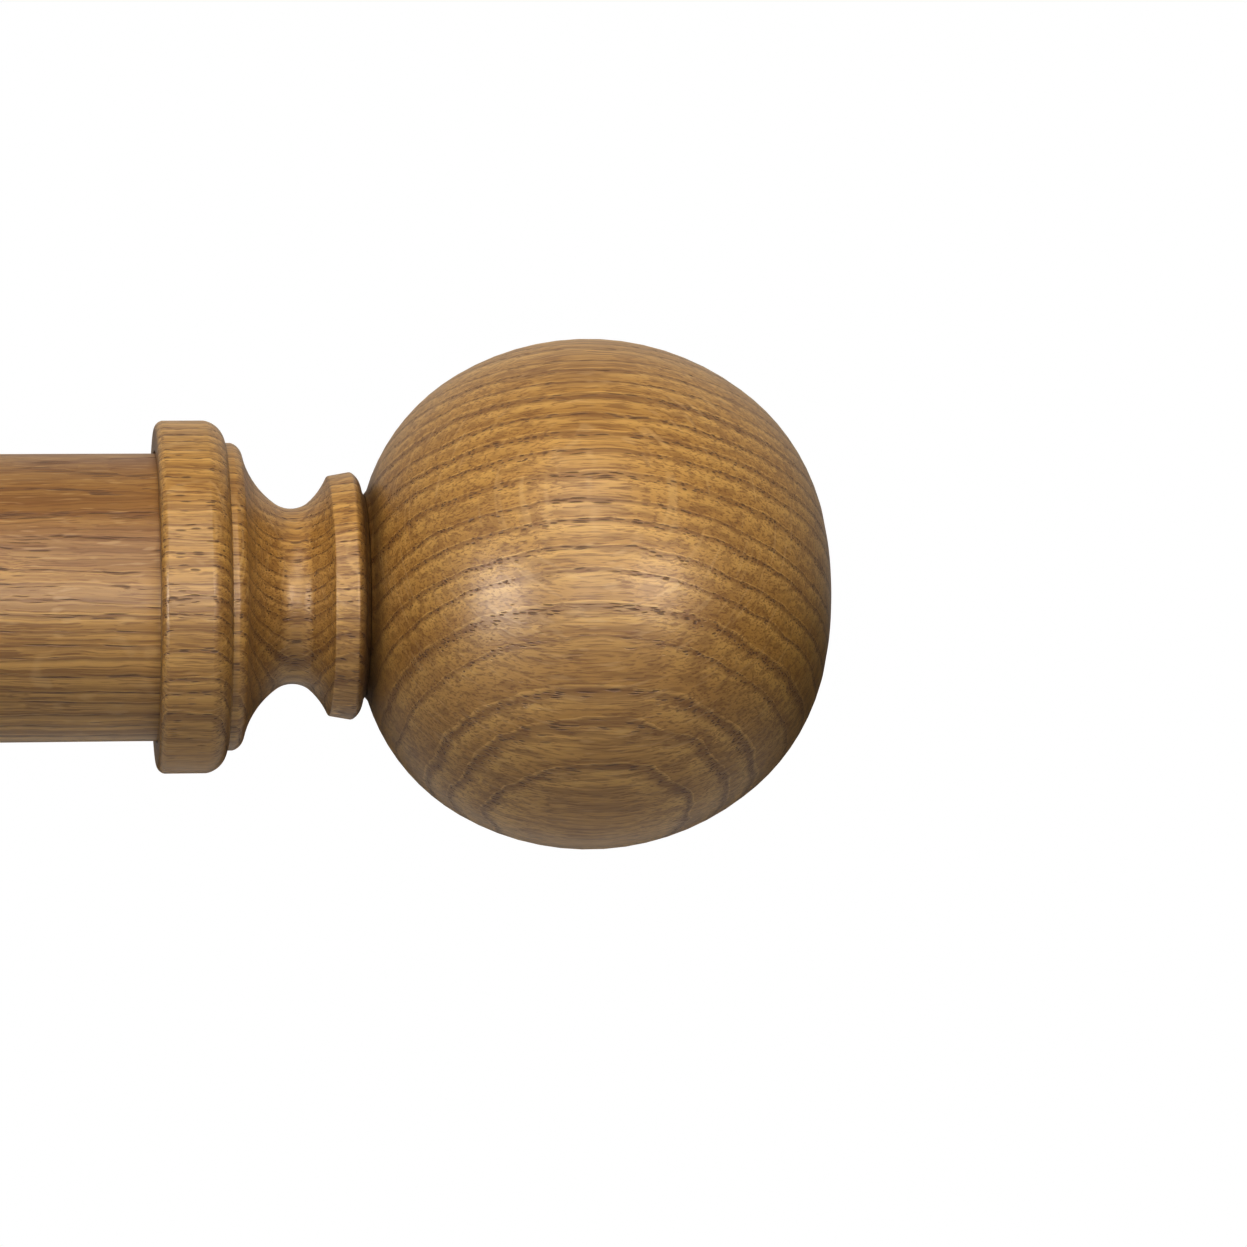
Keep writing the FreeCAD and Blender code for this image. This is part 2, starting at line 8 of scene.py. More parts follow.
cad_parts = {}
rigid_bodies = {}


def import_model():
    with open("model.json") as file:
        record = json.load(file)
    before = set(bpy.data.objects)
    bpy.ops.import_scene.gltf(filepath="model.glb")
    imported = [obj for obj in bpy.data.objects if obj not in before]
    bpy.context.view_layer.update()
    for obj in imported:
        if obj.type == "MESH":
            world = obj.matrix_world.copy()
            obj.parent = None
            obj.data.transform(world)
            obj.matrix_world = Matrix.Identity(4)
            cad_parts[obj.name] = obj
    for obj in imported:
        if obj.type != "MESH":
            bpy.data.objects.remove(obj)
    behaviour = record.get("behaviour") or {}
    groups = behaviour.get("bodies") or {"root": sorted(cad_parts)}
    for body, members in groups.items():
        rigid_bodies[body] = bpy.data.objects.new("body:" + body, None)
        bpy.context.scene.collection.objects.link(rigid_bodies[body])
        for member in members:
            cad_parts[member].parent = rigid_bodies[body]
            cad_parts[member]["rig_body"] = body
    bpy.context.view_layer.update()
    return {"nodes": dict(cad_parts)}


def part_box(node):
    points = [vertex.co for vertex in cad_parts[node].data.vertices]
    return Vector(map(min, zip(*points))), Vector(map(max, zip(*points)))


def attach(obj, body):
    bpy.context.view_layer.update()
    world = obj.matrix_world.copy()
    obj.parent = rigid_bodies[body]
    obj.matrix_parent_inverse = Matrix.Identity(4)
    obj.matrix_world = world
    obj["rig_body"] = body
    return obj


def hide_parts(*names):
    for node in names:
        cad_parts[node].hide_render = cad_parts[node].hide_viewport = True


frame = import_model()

mm = 0.001
sides = {"right": 1, "left": -1}
print("frame loaded:", len(frame["nodes"]), "nodes")


# where things are: every place is read from the frame's own boxes

def boxCentre(node):
    low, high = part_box(node)
    return (Vector(low) + Vector(high)) / 2


poleCentre = boxCentre("pole")
collarFace = Vector((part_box("finial_neck_right")[0][0], poleCentre.y, poleCentre.z))
ballCentre = boxCentre("finial_ball_right")


# camera and stage

camera = {
    "lens": 150.0,  # mm
    "sensor": 36.0,  # mm
    "reach": 100.0,  # m to the far clip
    "azimuth": -7.35,  # degrees; from a little to the left of the finial
    "roll": 0.45,
    "aimAlong": 82.1,  # mm from the collar's face, along the finial
    "aimBelow": 5.2,  # mm under the finial's axis
    "distance": 914.5,  # mm
}

studio = {
    "floorDrop": 0.7,  # m below the pole
    "floorRadius": 24.0,
    "paleRadius": 1.3,  # the floor is pale inside this and fades out to white
    "whiteRadius": 2.5,
    "printGamma": 0.80,  # a print's contrast: white stays white, the shadows deepen
    "floorColour": "CBCBCB",
    "white": "FFFFFF",
    "floorRoughness": 0.6,
    "floorGlow": 0.72,  # how far the floor is lifted towards white, so that it stays pale
    "worldSeen": 1.0,  # the backdrop as the camera sees it
    "worldLight": 0.02,
    "worldGloss": 0.34,  # what a shine picks up from level and below
    "ceilingGloss": 0.70,
    "ceilingStart": 0.1,  # upward share of a direction, where the ceiling's sheen begins
    "ceilingFull": 0.7,
}

# name, azimuth, elevation, distance m, width m, height m, watts, and whether it lights and shines
lamps = [
    ("overheadSoftbox", -10, 46, 2.6, 1.4, 1.0, 70, True, False),
    ("upperSoftbox", -8, 30, 2.6, 1.4, 1.0, 8, True, True),
    ("frontFill", -7, 2, 3.0, 0.8, 0.8, 9, True, False),
    ("frontShine", -7, 1, 3.0, 0.8, 0.8, 18, False, True),
    ("leftShine", -45, -1, 2.3, 0.8, 0.8, 32, False, True),
    ("rightShine", 23, 3, 2.3, 0.8, 0.8, 26, False, True),
    ("backLeftSoftbox", -160, 20, 3.2, 1.4, 1.2, 34, True, False),
    ("backRightSoftbox", 160, 20, 3.2, 1.4, 1.2, 34, True, False),
]


def onSphere(azimuth, elevation, distance):
    a, e = math.radians(azimuth), math.radians(elevation)
    return Vector((math.sin(a) * math.cos(e), -math.cos(a) * math.cos(e), math.sin(e))) * distance


def makeCamera():
    data = bpy.data.cameras.new("camera")
    data.lens = camera["lens"]
    data.sensor_width = camera["sensor"]
    data.clip_end = camera["reach"]
    body = bpy.data.objects.new("camera", data)
    bpy.context.scene.collection.objects.link(body)
    aim = collarFace + Vector((camera["aimAlong"], 0, -camera["aimBelow"])) * mm
    back = onSphere(camera["azimuth"], 0, camera["distance"] * mm)
    turn = back.to_track_quat("Z", "Y") @ Euler((0, 0, math.radians(-camera["roll"]))).to_quaternion()
    body.location = aim + back
    body.rotation_euler = turn.to_euler()
    bpy.context.scene.camera = body


def makeLamps():
    for name, azimuth, elevation, distance, width, height, watts, lights, shines in lamps:
        data = bpy.data.lights.new(name, "AREA")
        data.shape = "RECTANGLE"
        data.size, data.size_y = width, height
        data.energy = watts
        lamp = bpy.data.objects.new(name, data)
        bpy.context.scene.collection.objects.link(lamp)
        away = onSphere(azimuth, elevation, distance)
        lamp.location = ballCentre + away
        lamp.rotation_euler = away.to_track_quat("Z", "Y").to_euler()
        lamp.visible_camera = False
        lamp.visible_diffuse = lights
        lamp.visible_glossy = shines


# colours are written as sRGB hex

def linear(hexColour):
    channels = [int(hexColour[i:i + 2], 16) / 255 for i in (0, 2, 4)]
    return tuple(c / 12.92 if c <= 0.04045 else ((c + 0.055) / 1.055) ** 2.4 for c in channels) + (1.0,)


# one function for every node: its settings by name, its inputs as values or as sockets to link

def addNode(tree, kind, inputs=None, **settings):
    node = tree.nodes.new(kind)
    for key, value in settings.items():
        setattr(node, key, value)
    for key, value in (inputs or {}).items():
        if isinstance(value, bpy.types.NodeSocket):
            tree.links.new(value, node.inputs[key])
        else:
            node.inputs[key].default_value = value
    return node


def makeWorld():
    world = bpy.data.worlds.new("whiteStudio")
    world.use_nodes = True
    tree = world.node_tree
    tree.nodes.clear()
    path = addNode(tree, "ShaderNodeLightPath")
    way = addNode(tree, "ShaderNodeTexCoord").outputs["Generated"]
    height = addNode(tree, "ShaderNodeSeparateXYZ", {0: way}).outputs["Z"]
    sheen = addNode(tree, "ShaderNodeMapRange", {"Value": height, "From Min": studio["ceilingStart"],
                    "From Max": studio["ceilingFull"], "To Min": studio["worldGloss"],
                    "To Max": studio["ceilingGloss"]}).outputs[0]
    gloss = addNode(tree, "ShaderNodeMath", {0: path.outputs["Is Glossy Ray"], 1: sheen,
                    2: studio["worldLight"]}, operation="MULTIPLY_ADD")
    seen = addNode(tree, "ShaderNodeMath", {0: path.outputs["Is Camera Ray"],
                   1: studio["worldSeen"] - studio["worldLight"], 2: gloss.outputs[0]},
                   operation="MULTIPLY_ADD")
    light = addNode(tree, "ShaderNodeBackground", {"Color": linear(studio["white"]),
                    "Strength": seen.outputs[0]})
    addNode(tree, "ShaderNodeOutputWorld", {"Surface": light.outputs[0]})
    bpy.context.scene.world = world
    bpy.context.scene.view_settings.view_transform = "Standard"
    bpy.context.scene.view_settings.gamma = studio["printGamma"]


def makeFloor():
    bm = bmesh.new()
    bmesh.ops.create_circle(bm, cap_ends=True, segments=96, radius=studio["floorRadius"])
    mesh = bpy.data.meshes.new("floor")
    bm.to_mesh(mesh)
    bm.free()
    mesh.transform(Matrix.Translation((0, 0, poleCentre.z - studio["floorDrop"])))
    floor = bpy.data.objects.new("floor", mesh)
    bpy.context.scene.collection.objects.link(floor)
    # a matt painted board: an even pale tone with no reflection of the object in it
    material = bpy.data.materials.new("mattPaintedBoard")
    material.use_nodes = True
    tree = material.node_tree
    tree.nodes.clear()
    place = addNode(tree, "ShaderNodeTexCoord").outputs["Object"]
    flat = addNode(tree, "ShaderNodeVectorMath", {0: place, 1: (1, 1, 0)}, operation="MULTIPLY")
    away = addNode(tree, "ShaderNodeVectorMath", {0: flat.outputs[0]},
                   operation="LENGTH").outputs["Value"]
    fade = addNode(tree, "ShaderNodeMapRange", {"Value": away, "From Min": studio["paleRadius"],
                   "From Max": studio["whiteRadius"]}, interpolation_type="SMOOTHSTEP").outputs[0]
    pale = addNode(tree, "ShaderNodeBsdfPrincipled", {"Base Color": linear(studio["floorColour"]),
                   "Roughness": studio["floorRoughness"]})
    seen = addNode(tree, "ShaderNodeLightPath").outputs["Is Camera Ray"]
    glow = addNode(tree, "ShaderNodeMath", {0: seen, 1: 1 - studio["worldLight"],
                   2: studio["worldLight"]}, operation="MULTIPLY_ADD").outputs[0]
    white = addNode(tree, "ShaderNodeEmission", {"Color": linear(studio["white"]), "Strength": glow})
    lit = addNode(tree, "ShaderNodeMath", {0: seen, 1: studio["floorGlow"]},
                  operation="MULTIPLY").outputs[0]
    lifted = addNode(tree, "ShaderNodeMixShader", {0: lit, 1: pale.outputs[0], 2: white.outputs[0]})
    top = addNode(tree, "ShaderNodeMixShader", {0: fade, 1: lifted.outputs[0], 2: white.outputs[0]})
    clear = addNode(tree, "ShaderNodeBsdfTransparent")
    under = addNode(tree, "ShaderNodeNewGeometry").outputs["Backfacing"]
    both = addNode(tree, "ShaderNodeMixShader", {0: under, 1: top.outputs[0], 2: clear.outputs[0]})
    addNode(tree, "ShaderNodeOutputMaterial", {"Surface": both.outputs[0]})
    mesh.materials.append(material)


# solid oak, turned and lacquered: growth rings about a far-off pith, chains of open pores that run
# along the grain, fine fibre lines, pale ray flecks, and a satin clear coat that lightens the rims

oakBase = {
    "pale": "CAA05A",
    "mid": "AF8442",
    "dark": "70451A",
    "pore": "4A2A0B",
    "fleck": "D0AC76",
    # the colour of the painted shade in the grooves, with the stain gathered there
    "grooveShadeAndStain": "361C06",
    "ringWidth": 4.2,  # mm
    "ringVary": 0.5,  # share of a ring's width by which the rings differ
    "pith": 150.0,  # mm from the piece's middle to the heart of the tree
    "wander": 2.6,  # mm that the rings stray
    "wanderSize": (150, 36, 36),  # mm
    "ripple": 1.1,  # mm, the finer part of it
    "rippleSize": (19, 8, 8),
    "springEnd": (0.12, 0.42),  # shares of a year between which the porous spring wood fades out
    "springShow": 0.66,
    "poreLength": 4.6,  # mm
    "poreWidth": 0.42,
    "poreShow": 0.72,
    "poreCrowd": 0.85,  # how many of the cells are open pores in the spring wood
    "poreScatter": 0.05,  # and in the rest of the year
    "fibreLength": 9.0,  # mm
    "fibreWidth": 0.34,
    "fibreShow": 0.6,
    "streakWidth": 1.3,  # mm; streaks are three fibres long
    "streakShow": 0.42,
    "cloudSize": (80, 8, 8),  # mm
    "cloudShow": 0.24,
    "raySize": (5, 0.6, 14),  # mm
    "rayShow": 0.26,
    "yearShow": 0.25,  # how much whole years differ in tone
    "heart": -21.0,  # mm through the rings, where the darker heartwood starts
    "heartShow": 0.0,
    "grooveShow": 0.72,  # painted shade in the grooves, along with the stain and lacquer that gather there: both darken them
    "grooveReach": 12.0,  # mm
    "grooveOpen": (0.25, 0.97),  # openness at which the painted shade and stain are full, and at which they are gone
    "roughness": 0.46,
    "fibreRough": 0.16,
    "poreRough": 0.2,
    "relief": 0.15,  # mm, from a pore's floor to the surface
    "reliefStrength": 0.6,
    "coat": 0.55,
    "coatRoughness": 0.33,
    "coatStrength": 0.3,  # the lacquer half fills the pores
    "ior": 1.5,
}


def oak(name, centre, tilt, **changes):
    wood = dict(oakBase, **changes)
    material = bpy.data.materials.new(name)
    material.use_nodes = True
    tree = material.node_tree
    tree.nodes.clear()

    def node(kind, inputs=None, **settings):
        return addNode(tree, kind, inputs, **settings)

    def maths(operation, *values):
        return node("ShaderNodeMath", dict(enumerate(values)), operation=operation).outputs[0]

    def vector(operation, *values):
        return node("ShaderNodeVectorMath", dict(enumerate(values)), operation=operation).outputs[0]

    def noise(place, size, detail=2.0):
        # size is one feature's length, width and depth in mm
        scaled = vector("MULTIPLY", place, tuple(1 / side for side in size))
        inputs = {"Vector": scaled, "Scale": 1.0, "Detail": detail, "Roughness": 0.55}
        return node("ShaderNodeTexNoise", inputs).outputs

    def drift(place, size, reach, detail=1.0):
        # a slow push off course, across the grain
        centred = vector("SUBTRACT", noise(place, size, detail)["Color"], (0.5, 0.5, 0.5))
        return vector("MULTIPLY", centred, (0, reach * 2, reach * 2))

    def band(value, low, high, bottom=0.0, top=1.0):
        inputs = {"Value": value, "From Min": low, "From Max": high, "To Min": bottom, "To Max": top}
        return node("ShaderNodeMapRange", inputs, interpolation_type="SMOOTHSTEP").outputs[0]

    def blend(amount, under, over):
        return node("ShaderNodeMix", {0: amount, 6: under, 7: over}, data_type="RGBA").outputs[2]

    # millimetres in the tree's own directions: X along the grain, Z out through the rings
    angles = [math.radians(angle) for angle in tilt]
    shift = Euler(angles).to_matrix() @ (Vector(centre) * -1000)
    place = node("ShaderNodeMapping", {"Vector": node("ShaderNodeTexCoord").outputs["Object"],
                 "Location": shift, "Rotation": angles, "Scale": (1000, 1000, 1000)}).outputs[0]
    wavy = vector("ADD", place, drift(place, wood["wanderSize"], wood["wander"]))
    wavy = vector("ADD", wavy, drift(place, wood["rippleSize"], wood["ripple"], 3.0))
    spoke = vector("ADD", vector("MULTIPLY", wavy, (0, 1, 1)), (0, 0, wood["pith"]))
    radius = node("ShaderNodeVectorMath", {0: spoke}, operation="LENGTH").outputs["Value"]
    years = maths("DIVIDE", radius, wood["ringWidth"])
    slow = maths("MULTIPLY", years, 0.6)
    uneven = node("ShaderNodeTexNoise", {"W": slow, "Scale": 1.0, "Detail": 1.0},
                  noise_dimensions="1D").outputs[0]
    years = maths("MULTIPLY_ADD", uneven, wood["ringVary"] * 2, years)
    season = maths("FRACT", years)
    yearTone = node("ShaderNodeTexWhiteNoise", {"W": maths("FLOOR", years)},
                    noise_dimensions="1D").outputs["Value"]
    spring = maths("MULTIPLY", band(season, 0.0, 0.10), band(season, *wood["springEnd"], 1.0, 0.0))

    # pores: long thin cells along the grain, crowded in the spring wood
    across = 1 / wood["poreWidth"]
    cells = vector("MULTIPLY", wavy, (1 / wood["poreLength"], across, across))
    cell = node("ShaderNodeTexVoronoi", {"Vector": cells, "Scale": 1.0, "Randomness": 1.0}).outputs
    luck = node("ShaderNodeSeparateColor", {0: cell["Color"]}).outputs[0]
    mouth = band(cell["Distance"], 0.22, 0.48, 1.0, 0.0)
    crowd = maths("MULTIPLY_ADD", spring, wood["poreCrowd"], wood["poreScatter"])
    pores = maths("MULTIPLY", mouth, band(maths("SUBTRACT", crowd, luck), -0.05, 0.12))

    # the plain noises stand around 0.5, so a band above that picks out only their peaks
    fibre = noise(wavy, (wood["fibreLength"], wood["fibreWidth"], wood["fibreWidth"]), 3.0)[0]
    streak = noise(wavy, (wood["fibreLength"] * 3, wood["streakWidth"], wood["streakWidth"]), 2.0)[0]
    cloud = noise(wavy, wood["cloudSize"], 3.0)[0]
    depth = node("ShaderNodeSeparateXYZ", {0: wavy}).outputs[2]
    heart = band(depth, wood["heart"] - 2.5, wood["heart"] + 1.0, 1.0, 0.0)
    ray = band(noise(place, wood["raySize"], 1.0)[0], 0.58, 0.72)

    tone = blend(band(season, 0.3, 1.0), linear(wood["pale"]), linear(wood["mid"]))
    tone = blend(maths("MULTIPLY", spring, wood["springShow"]), tone, linear(wood["dark"]))
    tone = blend(maths("MULTIPLY", band(cloud, 0.40, 0.72), wood["cloudShow"]), tone,
                 linear(wood["dark"]))
    tone = blend(maths("MULTIPLY", heart, wood["heartShow"]), tone, linear(wood["dark"]))
    tone = blend(maths("MULTIPLY", yearTone, wood["yearShow"]), tone, linear(wood["mid"]))
    tone = blend(maths("MULTIPLY", band(streak, 0.46, 0.64), wood["streakShow"]), tone,
                 linear(wood["dark"]))
    tone = blend(maths("MULTIPLY", band(fibre, 0.48, 0.64), wood["fibreShow"]), tone,
                 linear(wood["dark"]))
    tone = blend(maths("MULTIPLY", ray, wood["rayShow"]), tone, linear(wood["fleck"]))
    tone = blend(maths("MULTIPLY", pores, wood["poreShow"]), tone, linear(wood["pore"]))

    # painted shade: an occlusion test darkens the colour in grooves and joints, where shade falls,
    # together with the stain gathered there
    if wood["grooveShow"]:
        grooveShade = node("ShaderNodeAmbientOcclusion", {"Distance": wood["grooveReach"] * mm}, samples=6)
        grooveShade = band(grooveShade.outputs["AO"], *wood["grooveOpen"], wood["grooveShow"], 0.0)
        tone = blend(grooveShade, tone, linear(wood["grooveShadeAndStain"]))

    smooth = wood["roughness"] - wood["fibreRough"] / 2
    rough = maths("MULTIPLY_ADD", fibre, wood["fibreRough"],
                  maths("MULTIPLY_ADD", pores, wood["poreRough"], smooth))
    relief = maths("MULTIPLY_ADD", pores, -1.0, maths("MULTIPLY", fibre, 0.5))
    grain = {"Height": relief, "Distance": wood["relief"] * mm}
    surface = node("ShaderNodeBsdfPrincipled", {
        "Base Color": tone, "Roughness": rough, "IOR": wood["ior"],
        "Normal": node("ShaderNodeBump", dict(grain, Strength=wood["reliefStrength"])).outputs[0],
        "Coat Normal": node("ShaderNodeBump", dict(grain, Strength=wood["coatStrength"])).outputs[0],
        "Coat Weight": wood["coat"], "Coat Roughness": wood["coatRoughness"], "Coat IOR": wood["ior"]})
    node("ShaderNodeOutputMaterial", {"Surface": surface.outputs[0]})
    return material


# the small hardware: one builder, because each is a plain surface with a fine pattern on it; line,
# patch and depth are mm

hardware = {
    # turned brass, a little aged: fine lathe rings glint, and a brown bloom dulls it in patches
    "brassTurned": {"pale": "D3AE62", "deep": "A57E3A", "metallic": 1.0, "roughness": 0.26,
                    "roughVary": 0.22, "line": 0.16, "patch": 3.5, "relief": 0.25, "depth": 0.05},
    # bright zinc plate on steel: cool and mottled, with a soft cloudy reflection
    "zincPlatedSteel": {"pale": "C9CDD0", "deep": "9DA3A8", "metallic": 1.0, "roughness": 0.32,
                        "roughVary": 0.16, "line": 0.22, "patch": 2.2, "relief": 0.15, "depth": 0.05},
    # turned nylon rod: milky and matt, with faint tool rings
    "nylonTurned": {"pale": "E9E5D8", "deep": "D8D2C0", "metallic": 0.0, "roughness": 0.48,
                    "roughVary": 0.1, "line": 0.3, "patch": 2.0, "relief": 0.12, "depth": 0.05},
    # punched vulcanised fibre: a matt brick red, flecked by its paper layers
    "fibrePunched": {"pale": "7E3A2A", "deep": "55221A", "metallic": 0.0, "roughness": 0.7,
                     "roughVary": 0.15, "line": 0.5, "patch": 1.2, "relief": 0.3, "depth": 0.05},
}


def smallFinish(name, centre, axis):
    # axis is 0, 1 or 2: the line that the tool's rings go round
    finish = hardware[name]
    material = bpy.data.materials.new(f"{name}_{'XYZ'[axis]}_{round(centre.x * 1000)}")
    material.use_nodes = True
    tree = material.node_tree
    tree.nodes.clear()
    along = [0.0, 0.0, 0.0]
    along[axis] = 1.0
    across = tuple(1 - share for share in along)
    inObject = addNode(tree, "ShaderNodeTexCoord").outputs["Object"]
    place = addNode(tree, "ShaderNodeMapping", {"Vector": inObject, "Location": centre * -1000,
                    "Scale": (1000, 1000, 1000)}).outputs[0]
    flat = addNode(tree, "ShaderNodeVectorMath", {0: place, 1: across}, operation="MULTIPLY").outputs[0]
    radius = addNode(tree, "ShaderNodeVectorMath", {0: flat}, operation="LENGTH").outputs["Value"]
    depth = addNode(tree, "ShaderNodeVectorMath", {0: place, 1: tuple(along)},
                    operation="DOT_PRODUCT").outputs["Value"]
    sweep = addNode(tree, "ShaderNodeMath", {0: radius, 1: depth}, operation="ADD").outputs[0]
    rings = addNode(tree, "ShaderNodeTexNoise", {"W": sweep, "Scale": 1 / finish["line"], "Detail": 2.0},
                    noise_dimensions="1D").outputs[0]
    patches = addNode(tree, "ShaderNodeTexNoise", {"Vector": place, "Scale": 1 / finish["patch"],
                      "Detail": 4.0}).outputs[0]
    spread = addNode(tree, "ShaderNodeMapRange", {"Value": patches, "From Min": 0.40, "From Max": 0.72},
                     interpolation_type="SMOOTHSTEP").outputs[0]
    tone = addNode(tree, "ShaderNodeMix", {0: spread, 6: linear(finish["pale"]),
                   7: linear(finish["deep"])}, data_type="RGBA").outputs[2]
    polished = finish["roughness"] - finish["roughVary"] / 2
    worn = addNode(tree, "ShaderNodeMath", {0: patches, 1: finish["roughVary"], 2: polished},
                   operation="MULTIPLY_ADD").outputs[0]
    bump = addNode(tree, "ShaderNodeBump", {"Height": rings, "Strength": finish["relief"],
                   "Distance": finish["depth"] * mm}).outputs[0]
    surface = addNode(tree, "ShaderNodeBsdfPrincipled", {"Base Color": tone, "Roughness": worn,
                      "Metallic": finish["metallic"], "Normal": bump})
    addNode(tree, "ShaderNodeOutputMaterial", {"Surface": surface.outputs[0]})
    return material


# turned work: an outline is rows of mm along the axis and mm from it, spun about the axis. A third
# number makes the run up to that point an arc of that radius, and a minus sign makes it hollow

turning = {
    "arcStep": 5,  # degrees of arc to a point
    "merge": 0.001,  # mm
    "arris": 0.35,  # mm that sanding takes off a sharp edge
    "arrisSegments": 3,
    "sharpAngle": 24,  # degrees; an edge that turns by more than this has an arris
    "smoothAngle": 32,  # degrees; on pieces not turned here, a sharper edge is shaded sharp
}


def arcTo(points, along, radius, arc):
    start, end = Vector(points[-1]), Vector((along, radius))
    chord = end - start
    out = Vector((-chord.y, chord.x)).normalized() * math.copysign(1, arc)
    centre = (start + end) / 2 - out * math.sqrt(arc ** 2 - (chord.length / 2) ** 2)
    first, last = start - centre, end - centre
    swing = first.angle_signed(last)
    steps = max(2, math.ceil(abs(swing) / math.radians(turning["arcStep"])))
    for i in range(1, steps + 1):
        turn = Matrix.Rotation(-swing * i / steps, 2)
        points.append(tuple(centre + turn @ first))


def outlinePoints(rows):
    points = []
    for along, radius, *arc in rows:
        if arc:
            arcTo(points, along, radius, *arc)
        else:
            points.append((along, radius))
    return points


def spinPiece(name, rows, origin, angle, material, segments, arris=turning["arris"], closed=True):
    # spun about X, then swung about Z and moved to its place
    bm = bmesh.new()
    verts = [bm.verts.new((along, radius, 0)) for along, radius in outlinePoints(rows)]
    pairs = list(zip(verts, verts[1:]))
    if closed:
        pairs.append((verts[-1], verts[0]))
    # a run that lies on the axis would sweep no surface
    edges = [bm.edges.new(pair) for pair in pairs if max(vert.co.y for vert in pair) > turning["merge"]]
    bmesh.ops.spin(bm, geom=verts + edges, cent=(0, 0, 0), axis=(1, 0, 0), angle=math.tau,
                   steps=segments, use_merge=True, use_duplicate=False)
    bmesh.ops.remove_doubles(bm, verts=bm.verts, dist=turning["merge"])
    bmesh.ops.recalc_face_normals(bm, faces=bm.faces)
    limit = math.radians(turning["sharpAngle"])
    sharp = [e for e in bm.edges if e.is_manifold and e.calc_face_angle() > limit]
    bmesh.ops.bevel(bm, geom=sharp, offset=arris, offset_type="OFFSET", profile=0.5, affect="EDGES",
                    segments=turning["arrisSegments"], material=-1, clamp_overlap=True)
    bmesh.ops.remove_doubles(bm, verts=bm.verts, dist=turning["merge"] * 2)
    bmesh.ops.recalc_face_normals(bm, faces=bm.faces)
    bmesh.ops.transform(bm, matrix=Matrix.Scale(mm, 4), verts=bm.verts)
    return finishPiece(name, bm, Matrix.Translation(origin) @ Matrix.Rotation(angle, 4, "Z"), material)


def finishPiece(name, bm, place, material):
    mesh = bpy.data.meshes.new(name)
    bmesh.ops.transform(bm, matrix=place, verts=bm.verts)
    bm.to_mesh(mesh)
    bm.free()
    mesh.shade_smooth()
    mesh.materials.append(material)
    piece = bpy.data.objects.new(name, mesh)
    bpy.context.scene.collection.objects.link(piece)
    piece.modifiers.new("evenShading", "WEIGHTED_NORMAL")
    return piece


finial = {
    "neckOutline": [
        (0, 25.35),  # socket for the pole's end
        (0, 29.4),
        (1.3, 30.7, 1.7),  # collar
        (8.5, 30.7),
        (12.1, 26.8, 4.3),
        (13.1, 26.8),  # step
        (14.9, 25.1, 2.6),
        (20.8, 16.2, -15.2),  # cove
        (26.5, 16.2, -4.95),
        (30.0, 20.95, -13.2),
        (33.9, 21.65),  # ring
        (35.6, 18.9, 3.0),
        (36.3, 17.6),  # joint with the ball
        (36.3, 6.05),  # bore for the dowel
        (26.3, 6.05),
        (26.3, 4.05),  # hole for the stud
        (6.0, 4.05),
        (6.0, 25.35),
    ],
    "ballMiddle": 75.8,  # mm from the collar's face
    "ballRadius": 44.85,
    "ballRound": (59.29, 53.60),  # degrees either side of the axis, between which the ball is truly round
    "shoulderArc": 35.3,  # mm; it is tighter towards the neck
    "browArc": 36.1,  # and towards the end
    "brow": (115.8, 17.94),
    "ballEnd": 118.2,  # mm; the end is a little flat
    "endArc": 60.0,
    "jointAlong": 36.3,
    "jointRadius": 17.6,
    "dowelRadius": 6.05,
    "dowelEnd": 54.3,
    "neckSegments": 160,
    "ballSegments": 192,
    "neckTilt": (200, 1.5, 1.0),  # degrees that turn the tree's directions in the piece
    "ballTilt": (203, 3, -5),
    "neckGrain": {"ringWidth": 2.4, "pith": 110, "wander": 1.6, "poreLength": 2.6,
                  "poreScatter": 0.12, "fibreShow": 0.55},
}


def ballOutline():
    f = finial
    middle, big = f["ballMiddle"], f["ballRadius"]
    start, stop = (math.radians(angle) for angle in f["ballRound"])
    return [
        (f["jointAlong"], f["dowelRadius"]),
        (f["jointAlong"], f["jointRadius"]),
        (f["jointAlong"] + 0.8, f["jointRadius"] + 1.0),
        (middle - big * math.cos(start), big * math.sin(start), f["shoulderArc"]),
        (middle + big * math.cos(stop), big * math.sin(stop), big),
        (*f["brow"], f["browArc"]),
        (f["ballEnd"], 0.0, f["endArc"]),
        (f["dowelEnd"], 0.0),
        (f["dowelEnd"], f["dowelRadius"]),
    ]


def makeFinials():
    f = finial
    for side, sign in sides.items():
        neckNode, ballNode = f"finial_neck_{side}", f"finial_ball_{side}"
        low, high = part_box(neckNode)
        face = low[0] if sign > 0 else high[0]
        origin = Vector((face, poleCentre.y, poleCentre.z))
        angle = 0 if sign > 0 else math.pi
        roll, pitch, yaw = f["neckTilt"]
        neckWood = oak(f"lacqueredOakNeck_{side}", origin, (roll, pitch * sign, yaw), **f["neckGrain"])
        roll, pitch, yaw = f["ballTilt"]
        ballWood = oak(f"lacqueredOakBall_{side}", boxCentre(ballNode), (roll, pitch, yaw * sign))
        neck = spinPiece(f"turned_neck_{side}", f["neckOutline"], origin, angle, neckWood,
                         f["neckSegments"])
        ball = spinPiece(f"turned_ball_{side}", ballOutline(), origin, angle, ballWood,
                         f["ballSegments"])
        standFor(neck, neckNode, f"finial_{side}")
        standFor(ball, ballNode, f"finial_{side}")


def standFor(piece, node, body):
    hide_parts(node)
    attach(piece, body)


